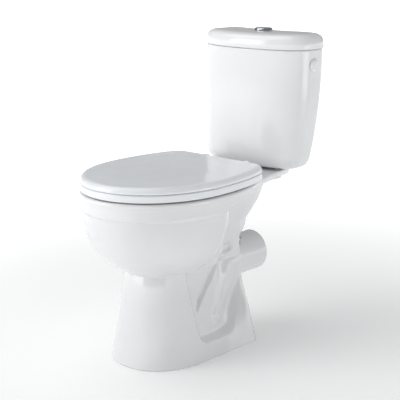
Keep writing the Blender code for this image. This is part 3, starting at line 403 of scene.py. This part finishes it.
def mirrored(field, points, quads, cell):
    """Points moved onto the surface, with their normals, and the half repeated across x = 0."""
    x_of = points[:, 0]
    middle = x_of < 0.25 * cell
    for _ in range(4):
        slope = gradient(field, points)
        value = field(np.abs(points[:, 0]), points[:, 1], points[:, 2])
        step = slope * (value / np.maximum((slope**2).sum(1), 0.25))[:, None]
        length = np.linalg.norm(step, axis=1, keepdims=True)
        points = points - step * np.minimum(1.0, 0.6 * cell / np.maximum(length, 1e-9))
        points[middle, 0] = 0.0
    normals = gradient(field, points)
    normals[middle, 0] = 0.0
    normals /= np.maximum(np.linalg.norm(normals, axis=1, keepdims=True), 1e-9)
    twin = np.arange(len(points)) + len(points)
    twin[middle] = np.flatnonzero(middle)
    flip = np.array([-1.0, 1.0, 1.0])
    all_points = np.concatenate([points, points * flip])
    all_normals = np.concatenate([normals, normals * flip])
    quads = quads[~middle[quads].all(1)]
    all_quads = np.concatenate([quads, twin[quads][:, ::-1]])
    used = np.unique(all_quads)
    renumber = np.zeros(len(all_points), int)
    renumber[used] = np.arange(len(used))
    return all_points[used], all_normals[used], renumber[all_quads]


def field_piece(name, field, low, high, cell):
    """A smooth mesh of a field's zero level inside a box."""
    points, normals, quads = surface_net(field, low, high, cell)
    mesh = bpy.data.meshes.new(name)
    mesh.from_pydata(points.tolist(), [], quads.tolist())
    mesh.shade_smooth()
    mesh.normals_split_custom_set_from_vertices(normals.tolist())
    item = bpy.data.objects.new(name, mesh)
    bpy.context.scene.collection.objects.link(item)
    return item


# ---- Pan ----------------------------------------------------------------------------------------
FRONT, BACK = -0.31075, 0.31075
RIM, BAND_UNDER, DECK_UNDER = 0.405, 0.366, 0.391
HALF, FRONT_REACH, BACK_REACH = 0.1715, 0.212, 0.278
BOWL_Y = FRONT + FRONT_REACH
SEAT_BACK_Y = FRONT + 0.4105
BAND_BACK_Y = SEAT_BACK_Y - 0.141
DECK_END_Y = BACK - 0.045
VALVE_Y = BACK - 0.092
COLUMN_Y = BACK - 0.192 - 0.058
BOWL_DEPTH, COLLAR = 0.170, 0.213
OUTLET_Z, OUTLET_END = 0.184, BACK - 0.092
SUMP_Y = BACK - 0.375
WALL = 0.011
SPIGOT_RADIUS, WASTE_RADIUS, TRAP_RADIUS = 0.051, 0.043, 0.030
RECESS_RADIUS, RECESS_DEPTH = 0.038, 0.016  # the flush inlet under the cistern
OPENING_HALF, OPENING_INSET, OPENING_BACK = 0.125, 0.048, 0.105
CHANNEL_LIP = 0.010  # china between the rim's opening and the flush channel
DUCT_RADIUS = 0.010
BOLT_X, BOLT_HOLE = 0.075, 0.005
HINGE_X, HINGE_HOLE = 0.0775, 0.0071
HINGE_Y, HINGE_Z = SEAT_BACK_Y + 0.019, 0.425
PANEL_DEPTH, GROOVE_DEPTH, SWELLING = 0.0080, 0.009, 0.006  # on the pedestal's side


def oval(x, y, centre, half, front, back, power):
    """Roughly the distance outside an oval in plan, negative inside it."""
    v = y - centre
    reach = np.where(v < 0, front, back)
    u, v = x / half, v / reach
    level = (np.abs(u) ** power + np.abs(v) ** power + 1e-12) ** (1 / power)
    slope = np.hypot(np.abs(u / level) ** (power - 1) / half, np.abs(v / level) ** (power - 1) / reach)
    return (level - 1) / np.maximum(slope, 1.0)


def bowl_outside(x, y, z):
    """The glazed bowl under the rim: an egg in plan that closes in to a point behind the sump."""
    drop = np.clip((BAND_UNDER - z) / BOWL_DEPTH, 0.0, 0.985)
    scale = 0.975 * (1 - drop**2.2) ** (1 / 2.2)
    plan = oval(x, y, BOWL_Y, HALF * scale, FRONT_REACH * scale, 0.110 * scale, 2.05)
    return np.maximum(plan, z - (RIM - 0.020))


def drum(x, y, z):
    """The round front of the pedestal, which fades into the bowl above the collar."""
    fraction = z / COLLAR
    centre = FRONT + 0.2365
    half = 0.117 * curve(fraction, (0, 0.5, 1, 1.06, 1.2), (1.0, 0.868, 0.757, 0.60, 0.35))
    front = 0.160 * curve(fraction, (0, 0.5, 1, 1.06, 1.2), (1.0, 0.872, 0.763, 0.63, 0.30))
    return oval(x, y, centre, half, front, 0.125, 2.3)


def column(x, y, z):
    """The rear column, and the neck that flares from it up to the deck."""
    down = z - RIM
    half = curve(z / COLLAR, (0, 0.33, 0.70, 0.95), (0.117, 0.093, 0.064, 0.054))
    back = curve(down, (-0.405, -0.160, -0.135, -0.105, -0.075, -0.045, -0.016),
                 (0.0579, 0.058, 0.092, 0.140, 0.174, 0.190, 0.192))
    power = curve(down, (-0.160, -0.120), (5.0, 2.0))
    return oval(x, y, COLUMN_Y, half, 0.13, back, power)


def web(x, y, z):
    """The body behind the bowl that covers the sump."""
    half = curve(z, (0.128, 0.213, 0.266), (0.050, 0.088, 0.098))
    return oval(x, y, SEAT_BACK_Y - 0.165, half, 0.10, 0.085, 5.0)


def deck(x, y, z):
    """The rear deck: sides that close in towards a straight end, and a thin edge."""
    start, end = SEAT_BACK_Y - 0.021, DECK_END_Y - 0.049
    side = x - (0.131 + (y - start) * (0.100 - 0.131) / (end - start))
    corner = 0.030
    u, v = side + corner, y - DECK_END_Y + corner
    plan = np.hypot(np.clip(u, 0, None), np.clip(v, 0, None)) + np.minimum(np.maximum(u, v), 0) - corner
    plan = np.maximum(plan, start - 0.050 - y)
    return slab(plan, z, DECK_UNDER, RIM, 0.004)


def slab(plan, z, low, high, edge):
    """A plan field cut to a height range, its edges rounded."""
    half = (high - low) / 2
    u, v = plan + edge, np.abs(z - (low + high) / 2) - half + edge
    return np.hypot(np.clip(u, 0, None), np.clip(v, 0, None)) + np.minimum(np.maximum(u, v), 0) - edge


def band(x, y, z):
    """The deep rim, which ends in a slope behind the widest part, and the thin shelf behind it."""
    egg = oval(x, y, BOWL_Y, HALF, FRONT_REACH, BACK_REACH, 2.05)
    end = y - BAND_BACK_Y + 2.1 * np.clip(0.380 - z, 0.0, None)
    deep = slab(both(egg, end, 0.006), z, BAND_UNDER, RIM, 0.004)
    shelf = slab(egg, z, DECK_UNDER, RIM, 0.005)
    return union(deep, shelf, 0.004)


def capsule_path(x, y, z, points, radii):
    """Distance to a round tube whose middle runs through points of the plane x = 0."""
    result = None
    for (y0, z0), (y1, z1), r0, r1 in zip(points, points[1:], radii, radii[1:]):
        dy, dz = y1 - y0, z1 - z0
        t = np.clip(((y - y0) * dy + (z - z0) * dz) / (dy * dy + dz * dz), 0, 1)
        away = np.sqrt(x**2 + (y - y0 - t * dy) ** 2 + (z - z0 - t * dz) ** 2) - (r0 + t * (r1 - r0))
        result = away if result is None else union(result, away, 0.006)
    return result


def trap_points():
    """The middle of the water trap in (y, z), from the sump over the weir to the spigot."""
    low, weir, bend, tilt = 0.098, 0.214, 0.045, radians(60)
    turns = [tilt * i / 4 for i in range(5)]
    rise = weir - low - 2 * bend * (1 - cos(tilt))
    start = 0.330
    top = start - 2 * bend * sin(tilt) - rise / sin(tilt) * cos(tilt)
    places = [(0.360, low)] + [(start - bend * sin(t), low + bend * (1 - cos(t))) for t in turns]
    places += [(top + bend * sin(t), weir - bend * (1 - cos(t))) for t in reversed(turns)]
    places += [(top - 0.030, weir - 0.004), (top - 0.060, OUTLET_Z + 0.010), (0.112, OUTLET_Z + 0.002)]
    return [(BACK - back, z) for back, z in places]


TRAP = trap_points()


def bowl_inside(x, y, z, offset=0.0):
    """The inside of the bowl, down to the sump."""
    heights = (0.065, 0.086, 0.128, 0.180, 0.213, 0.250, 0.300, 0.362)
    half = curve(z, heights, (0.018, 0.034, 0.040, 0.048, 0.062, 0.1095, 0.1365, 0.1515))
    front = curve(z, heights, (0.023, 0.044, 0.055, 0.070, 0.090, 0.142, 0.172, 0.190))
    back = curve(z, heights, (0.025, 0.046, 0.060, 0.068, 0.078, 0.092, 0.098, 0.100))
    centre = curve(z, heights, (SUMP_Y, SUMP_Y, SUMP_Y, SUMP_Y, -0.0756, -0.0950, BOWL_Y, BOWL_Y))
    plan = oval(x, y, centre, half, front, back, 2.0) - offset
    return slab(plan, z, 0.065 - offset, 0.362, 0.016)


def rim_opening(x, y):
    """Distance outside the rim's oval opening."""
    return oval(x, y, BOWL_Y, OPENING_HALF, FRONT_REACH - OPENING_INSET, OPENING_BACK, 2.0)


def relief(y, z):
    """How far the pedestal's side is carved in (positive) or swells out."""
    # the panel behind the drum's crease
    crease = curve(z, (0.030, 0.060, 0.102, 0.158, 0.211, 0.240),
                   (-0.076, -0.098, -0.107, -0.117, -0.127, -0.132))
    rear = curve(z, (0.030, 0.045, 0.104, 0.147, 0.200, 0.240),
                 (0.020, 0.030, 0.076, 0.098, 0.120, 0.140))
    panel = smooth_step(y, crease, crease + 0.007) * (1 - smooth_step(y, rear - 0.028, rear))
    panel = panel * smooth_step(z, 0.036, 0.062)
    panel = panel * (1 - smooth_step(z, 0.205, 0.222))
    # the groove that curves down from the neck, and the trapway's swelling beside it
    line = [(0.062, 0.232), (0.030, 0.229), (0.000, 0.222), (-0.022, 0.203), (-0.045, 0.184),
            (-0.064, 0.165), (-0.080, 0.145), (-0.090, 0.118)]
    widths = [0.015, 0.015, 0.0145, 0.014, 0.0125, 0.011, 0.009, 0.004]
    groove = polyline_groove(y, z, line, widths)
    swell_line = [(0.085, 0.180), (0.045, 0.150), (0.005, 0.122), (-0.025, 0.092)]
    swell = polyline_groove(y, z, swell_line, [0.040, 0.038, 0.034, 0.020])
    groove = groove * smooth_step(z, 0.110, 0.140)
    return PANEL_DEPTH * panel + GROOVE_DEPTH * groove - SWELLING * swell * panel


def polyline_groove(y, z, points, widths):
    """1 on a line in the (y, z) plane, falling smoothly to 0 at a distance that varies along it."""
    best = np.zeros_like(y)
    for (y0, z0), (y1, z1), w0, w1 in zip(points, points[1:], widths, widths[1:]):
        dy, dz = y1 - y0, z1 - z0
        t = np.clip(((y - y0) * dy + (z - z0) * dz) / (dy * dy + dz * dz), 0, 1)
        away = np.hypot(y - y0 - t * dy, z - z0 - t * dz) / (w0 + t * (w1 - w0))
        best = np.maximum(best, 1 - smooth_step(away, 0.25, 1.15))
    return best


def pan_field(x, y, z):
    """The whole pan: its outside first, then everything that is hollow in it."""
    lower = union(drum(x, y, z), column(x, y, z), 0.020)
    lower = np.maximum(union(lower, web(x, y, z), 0.014), z - (RIM - 0.012))
    carved = smooth_step(x, 0.025, 0.050)
    lower = lower + carved * relief(y, z)
    body = union(bowl_outside(x, y, z), lower, 0.004)
    body = union(body, band(x, y, z), 0.004)
    recess = np.hypot(x, y - VALVE_Y)
    boss = slab(recess - RECESS_RADIUS - 0.0095, z, 0.377, RIM - 0.003, 0.003)
    body = union(union(body, boss, 0.010), deck(x, y, z), 0.008)
    away = np.hypot(x, z - OUTLET_Z)
    spigot = slab(away - SPIGOT_RADIUS, y, COLUMN_Y, OUTLET_END, 0.005)
    body = union(body, spigot, 0.008)
    # hollows
    trap = capsule_path(x, y, z, TRAP, [TRAP_RADIUS] * len(TRAP))
    inside = bowl_inside(x, y, z)
    sump = np.minimum(inside, trap)
    hollow = np.maximum(np.maximum(lower + WALL, z - 0.185), -(sump - WALL + 0.002))
    hollow = np.maximum(hollow, SPIGOT_RADIUS + 0.002 - np.where(y > COLUMN_Y + 0.008, away, 1.0))
    body = np.maximum(body, -hollow)
    body = without(body, slab(rim_opening(x, y), z, 0.330, RIM + 0.03, 0.002), 0.010)
    body = without(body, inside, 0.003)
    body = np.maximum(body, -trap)
    channel = np.maximum(oval(x, y, BOWL_Y, HALF - 0.021, FRONT_REACH - 0.022, 0.125, 2.0),
                         -oval(x, y, BOWL_Y, OPENING_HALF + CHANNEL_LIP,
                               FRONT_REACH - OPENING_INSET + CHANNEL_LIP, OPENING_BACK + CHANNEL_LIP, 2.0))
    body = np.maximum(body, -slab(channel, z, 0.364, RIM - 0.012, 0.002))
    waste = slab(away - WASTE_RADIUS, y, COLUMN_Y + 0.085, OUTLET_END + 0.02, 0.004)
    body = without(body, waste, 0.002)
    body = without(body, slab(recess - RECESS_RADIUS, z, RIM - RECESS_DEPTH, RIM + 0.03, 0.001), 0.003)
    duct = [(VALVE_Y - 0.030, 0.391), (VALVE_Y - 0.065, 0.381), (0.100, 0.377), (0.021, 0.377)]
    body = np.maximum(body, -capsule_path(x, y, z, duct, [DUCT_RADIUS] * len(duct)))
    for place_x, place_y, radius in ((HINGE_X, HINGE_Y, HINGE_HOLE), (BOLT_X, VALVE_Y, BOLT_HOLE)):
        hole = slab(np.hypot(x - place_x, y - place_y) - radius, z, 0.350, RIM + 0.03, 0.001)
        body = without(body, hole, 0.001)
    return slab(body, z, 0.0, 1.0, 0.002)  # the flat foot, with a small rounding


CELL = 0.0039 if FINE else 0.0050
pan = field_piece("pan_glazed", pan_field, (0.0, -0.320, -0.006), (0.180, 0.275, 0.412), CELL)
stand_in(pan, "pan")


# ---- Cistern ------------------------------------------------------------------------------------
CISTERN_LOW, CISTERN_TOP = 0.409, 0.698
CISTERN_FLOOR = 0.419
LID_LOW, LID_HIGH = 0.6983, 0.7353
INLET_Y, INLET_Z = BACK - 0.062, 0.661
BUTTON_Y = BACK - 0.060


def cistern_plan(x, y, half, front_y, back_y):
    """The cistern's outline: softly rounded in front, with tighter corners behind."""
    back = (back_y - front_y) / 2 - 0.0105
    centre = back_y - back
    v = y - centre
    power = np.where(v < 0, 2.35, 5.0)
    reach = np.where(v < 0, centre - front_y, back)
    u, v = np.abs(x) / half, np.abs(v) / reach
    level = (u**power + v**power + 1e-12) ** (1 / power)
    slope = np.hypot((u / level) ** (power - 1) / half, (v / level) ** (power - 1) / reach)
    return (level - 1) / np.maximum(slope, 1.0)


def cistern_side(x, y, z):
    """Distance outside the body's tapering wall."""
    down = np.clip((CISTERN_TOP - z) / 0.289, 0.0, 1.0)
    return cistern_plan(x, y, 0.1565 - 0.0115 * down**2, BACK - 0.147, BACK - 0.0025 - 0.040 * down**2.2)


def cistern_field(x, y, z):
    """The cistern body: a shell with a thicker floor, and its holes."""
    side = cistern_side(x, y, z)
    body = both(side, CISTERN_LOW - z, 0.030)
    body = both(body, z - CISTERN_TOP, 0.003)
    body = np.maximum(body, -both(side + 0.008, CISTERN_FLOOR - z, 0.016))
    axis = np.hypot(x, y - VALVE_Y)
    body = np.maximum(body, -np.maximum(axis - 0.027, z - 0.440))
    bolts = np.hypot(x - BOLT_X, y - VALVE_Y)
    body = np.maximum(body, -np.maximum(bolts - BOLT_HOLE, z - 0.440))
    inlet = np.hypot(y - INLET_Y, z - INLET_Z)
    body = np.maximum(body, -np.maximum(inlet - 0.0112, 0.120 - x))
    return np.maximum(body, -np.maximum(inlet - 0.017, np.abs(x - 0.135) - 0.0128))


def lid_plan(x, y):
    """Distance outside the cistern lid's outline."""
    return cistern_plan(x, y, 0.159, BACK - 0.149, BACK)


def cistern_lid_field(x, y, z):
    """The crowned cistern lid, with its locating rib, its hollow and the button's hole."""
    plan = lid_plan(x, y)
    crown = LID_HIGH - 0.0020 * (1 - smooth_step(-plan, 0.0, 0.055))
    body = both(plan, z - crown, 0.026)
    body = both(body, LID_LOW - z, 0.003)
    rib = slab(plan + 0.012, z, LID_LOW - 0.008, LID_LOW + 0.006, 0.001)
    body = union(body, rib, 0.002)
    inside = both(plan + 0.017, z - LID_HIGH + 0.010, 0.020)
    body = np.maximum(body, -inside)
    axis = np.hypot(x, y - BUTTON_Y)
    return without(body, axis - 0.0205, 0.002)


cistern = field_piece("cistern_glazed", cistern_field, (0.0, 0.155, 0.400), (0.165, 0.318, 0.702), CELL)
stand_in(cistern, "cistern")
cistern_lid = field_piece("cistern_lid_glazed", cistern_lid_field, (0.0, 0.155, 0.686),
                          (0.165, 0.318, 0.742), CELL * 0.75)
stand_in(cistern_lid, "cistern_lid")


# ---- Seat ---------------------------------------------------------------------------------------
RING_LOW, RING_HIGH = 0.409, 0.426
SEAT_LID_LOW, SEAT_LID_HIGH = 0.4265, 0.4440
PIN_HOLE, BARREL_RADIUS = 0.0037, 0.0075


def seat_plan(x, y):
    """Distance outside the seat's outline: an egg with a straight back and rounded corners."""

    def level(x, y):
        v = y - BOWL_Y
        reach = np.where(v < 0, FRONT_REACH, 0.320)
        egg = (np.abs(x / HALF) ** 2.05 + np.abs(v / reach) ** 2.05 + 1e-12) ** (1 / 2.05)
        edge = np.clip(v / (SEAT_BACK_Y - BOWL_Y), 0, None)
        return (egg**14 + edge**14) ** (1 / 14)

    h = 0.0005
    slope = np.hypot(level(x + h, y) - level(x - h, y), level(x, y + h) - level(x, y - h)) / (2 * h)
    return (level(x, y) - 1) / np.maximum(slope, 1.0)


def hinge_leaf(x, y, z, start, end, reach, low, high):
    """An arm with a barrel round the hinge pin."""
    across = np.abs(x - (start + end) / 2) - (end - start) / 2
    arm = slab(np.maximum(across, np.maximum(SEAT_BACK_Y - reach - y, y - HINGE_Y)), z, low, high, 0.0010)
    round_pin = np.hypot(y - HINGE_Y, z - HINGE_Z)
    barrel = both(across, round_pin - BARREL_RADIUS, 0.002)
    return np.maximum(union(arm, barrel, 0.004), PIN_HOLE - round_pin)


def seat_ring_field(x, y, z):
    """The seat ring with its two outer hinge leaves."""
    plan = seat_plan(x, y)
    body = both(plan, z - RING_HIGH, 0.004)
    body = both(body, RING_LOW - z, 0.003)
    hole = oval(x, y, BOWL_Y, 0.108, FRONT_REACH - 0.060, SEAT_BACK_Y - BOWL_Y - 0.088, 2.0)
    body = both(body, -hole, 0.011)
    leaf = hinge_leaf(x, y, z, HINGE_X + 0.008, HINGE_X + 0.0195, 0.012, RING_LOW + 0.003,
                      RING_HIGH - 0.004)
    return union(body, leaf, 0.002)


def seat_lid_field(x, y, z):
    """The crowned seat lid, hollow below, with its two inner hinge leaves."""
    plan = seat_plan(x, y)
    crown = SEAT_LID_HIGH - 0.0022 * (1 - smooth_step(-plan, 0.0, 0.075))
    body = both(plan, z - crown, 0.015)
    body = both(body, SEAT_LID_LOW - z, 0.002)
    under = both(plan + 0.014, z - SEAT_LID_HIGH + 0.0075, 0.012)
    body = np.maximum(body, -under)
    leaf = hinge_leaf(x, y, z, HINGE_X - 0.0195, HINGE_X - 0.008, 0.010, SEAT_LID_LOW + 0.001,
                      SEAT_LID_LOW + 0.010)
    return union(body, leaf, 0.002)


SEAT_CELL = 0.0024 if FINE else 0.0036
seat_ring = field_piece("seat_ring_moulded", seat_ring_field, (0.0, -0.318, 0.402), (0.178, 0.130, 0.438),
                        SEAT_CELL)
stand_in(seat_ring, "seat_ring")
seat_lid = field_piece("seat_lid_moulded", seat_lid_field, (0.0, -0.318, 0.412), (0.178, 0.130, 0.450),
                       SEAT_CELL)
stand_in(seat_lid, "seat_lid")


# ---- Turned pieces: the flush button and the blanking plug --------------------------------------
def turned(name, profile, place, axis=(0.0, 0.0, 1.0), steps=96):
    """A profile of (radius, height) points turned round an axis."""
    bm = bmesh.new()
    turns = [2 * pi * i / steps for i in range(steps)]
    rows = []
    for radius, height in profile:
        if radius == 0:
            rows.append([bm.verts.new((0, 0, height))] * steps)
        else:
            rows.append([bm.verts.new((radius * cos(t), radius * sin(t), height)) for t in turns])
    for low, high in zip(rows, rows[1:]):
        for i in range(steps):
            corners = dict.fromkeys((low[i], low[(i + 1) % steps], high[(i + 1) % steps], high[i]))
            if len(corners) > 2:
                bm.faces.new(corners)
    bmesh.ops.recalc_face_normals(bm, faces=bm.faces)
    turn = Vector(axis).to_track_quat("Z", "Y").to_matrix().to_4x4()
    bm.transform(Matrix.Translation(place) @ turn)
    mesh = bpy.data.meshes.new(name)
    bm.to_mesh(mesh)
    bm.free()
    mesh.shade_smooth()
    mesh.set_sharp_from_angle(angle=radians(40))
    item = bpy.data.objects.new(name, mesh)
    bpy.context.scene.collection.objects.link(item)
    return item


def rounded(points, radius, steps=4):
    """An open profile with its inside points replaced by small arcs."""
    result = [points[0]]
    for before, corner, after in zip(points, points[1:], points[2:]):
        corner = Vector(corner)
        to_before, to_after = Vector(before) - corner, Vector(after) - corner
        reach = min(radius, to_before.length * 0.45, to_after.length * 0.45)
        start, end = corner + to_before.normalized() * reach, corner + to_after.normalized() * reach
        for i in range(steps + 1):
            t = i / steps
            result.append(tuple(start * (1 - t) ** 2 + corner * 2 * t * (1 - t) + end * t * t))
    return [*result, points[-1]]


SLEEVE_RADIUS, SLEEVE_BORE, SLEEVE_LENGTH = 0.0195, 0.0178, 0.032
CAP_RADIUS, CAP_HEIGHT, SHANK_RADIUS, PLUG_GAP = 0.0165, 0.0045, 0.0102, 0.0004


def make_bezel():
    """The chromed ring round the flush button, with the sleeve below it."""
    flange, sleeve_end = LID_HIGH + 0.0003, LID_HIGH - SLEEVE_LENGTH
    profile = [(SLEEVE_BORE, sleeve_end), (SLEEVE_BORE, flange + 0.0048), (0.0188, flange + 0.0056),
               (0.0206, flange + 0.0050), (0.0229, flange + 0.0012), (0.0230, flange),
               (SLEEVE_RADIUS, flange), (SLEEVE_RADIUS, sleeve_end), (SLEEVE_BORE, sleeve_end)]
    stand_in(turned("button_bezel_chromed", rounded(profile, 0.0008), (0, BUTTON_Y, 0)), "button_bezel")


def make_plug():
    """The domed cap that closes the unused inlet hole, with its shank."""
    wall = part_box("inlet_plug")[1].x - CAP_HEIGHT - PLUG_GAP
    dome = ((0.0, 0.0049), (0.35, 0.0048), (0.62, 0.0043), (0.84, 0.0031), (0.97, 0.0014), (1.0, PLUG_GAP))
    profile = [(CAP_RADIUS * share, height) for share, height in dome]
    profile += [(SHANK_RADIUS, PLUG_GAP), (SHANK_RADIUS, -0.020), (0.0, -0.020)]
    plug = turned("inlet_plug_moulded", rounded(profile, 0.0010), (wall, INLET_Y, INLET_Z), (1, 0, 0))
    stand_in(plug, "inlet_plug")


make_bezel()
make_plug()


# ---- The small fittings keep their CAD shape ----------------------------------------------------
for name, item in frame["nodes"].items():
    if name not in REMADE:
        dress(item, SLOTS[name])
